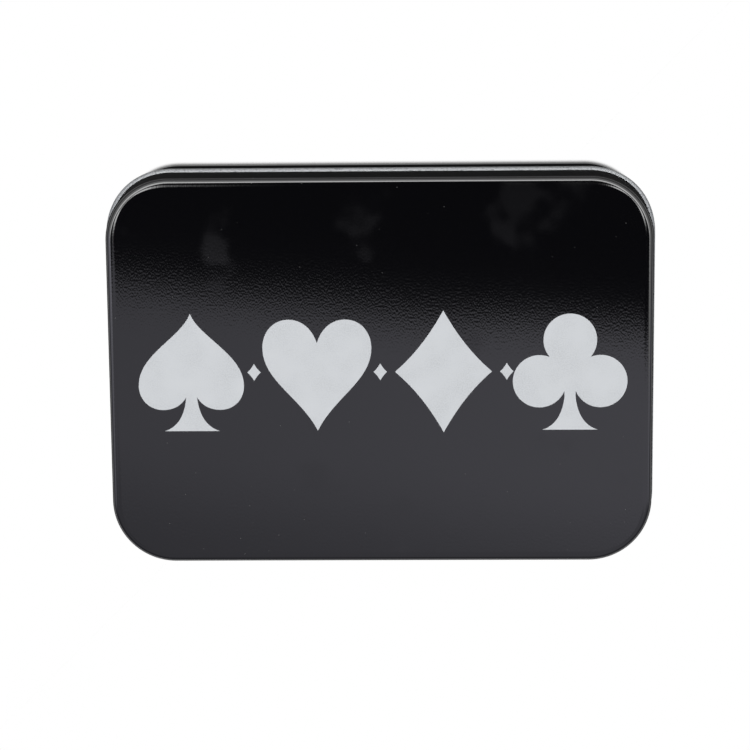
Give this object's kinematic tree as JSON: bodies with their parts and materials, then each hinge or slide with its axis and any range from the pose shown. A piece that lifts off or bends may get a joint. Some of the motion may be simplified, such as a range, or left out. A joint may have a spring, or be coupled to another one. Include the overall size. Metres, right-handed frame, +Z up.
{
  "type": "card game tin",
  "caption": "Small rectangular tin with rounded corners and a lid hinged along the back, holding a deck of cards over a folded rules leaflet.",
  "frame": {"origin": "middle of the closed tin's outline, on the flat it stands on", "axes": "+Z up through the lid's face, +X along the long side, -Y towards the edge that opens, +Y towards the hinge"},
  "size_m": [0.1014, 0.0734, 0.024],
  "materials": {
    "lid_enamel": "gloss black stoved enamel over tinplate, with a light grey screen print on the face and clear lacquer inside",
    "base_enamel": "gloss black stoved enamel over tinplate, clear lacquer inside",
    "hinge_wire": "drawn tinned steel wire",
    "leaflet_paper": "uncoated white paper",
    "card_stock": "white coated card stock, printed on both sides"
  },
  "bodies": {
    "base": {"base_shell": "base_enamel", "hinge_pin": "hinge_wire", "rules_leaflet": "leaflet_paper", "card_01": "card_stock", "card_02": "card_stock", "card_03": "card_stock", "card_04": "card_stock", "card_05": "card_stock", "card_06": "card_stock", "card_07": "card_stock", "card_08": "card_stock", "card_09": "card_stock", "card_10": "card_stock", "card_11": "card_stock", "card_12": "card_stock", "card_13": "card_stock", "card_14": "card_stock", "card_15": "card_stock", "card_16": "card_stock", "card_17": "card_stock", "card_18": "card_stock", "card_19": "card_stock", "card_20": "card_stock", "card_21": "card_stock", "card_22": "card_stock", "card_23": "card_stock", "card_24": "card_stock", "card_25": "card_stock", "card_26": "card_stock", "card_27": "card_stock", "card_28": "card_stock", "card_29": "card_stock", "card_30": "card_stock", "card_31": "card_stock", "card_32": "card_stock", "card_33": "card_stock", "card_34": "card_stock", "card_35": "card_stock", "card_36": "card_stock", "card_37": "card_stock", "card_38": "card_stock", "card_39": "card_stock", "card_40": "card_stock", "card_41": "card_stock", "card_42": "card_stock", "card_43": "card_stock", "card_44": "card_stock", "card_45": "card_stock", "card_46": "card_stock", "card_47": "card_stock", "card_48": "card_stock", "card_49": "card_stock", "card_50": "card_stock", "card_51": "card_stock", "card_52": "card_stock", "card_53": "card_stock", "card_54": "card_stock"},
    "lid": {"lid_shell": "lid_enamel"}
  },
  "joints": [
    {"name": "lid_hinge", "type": "hinge", "parent": "base", "child": "lid", "pos_m": [0, 0.0361, 0.0158], "axis": [-1, 0, 0], "range_deg": [0, 110]}
  ]
}
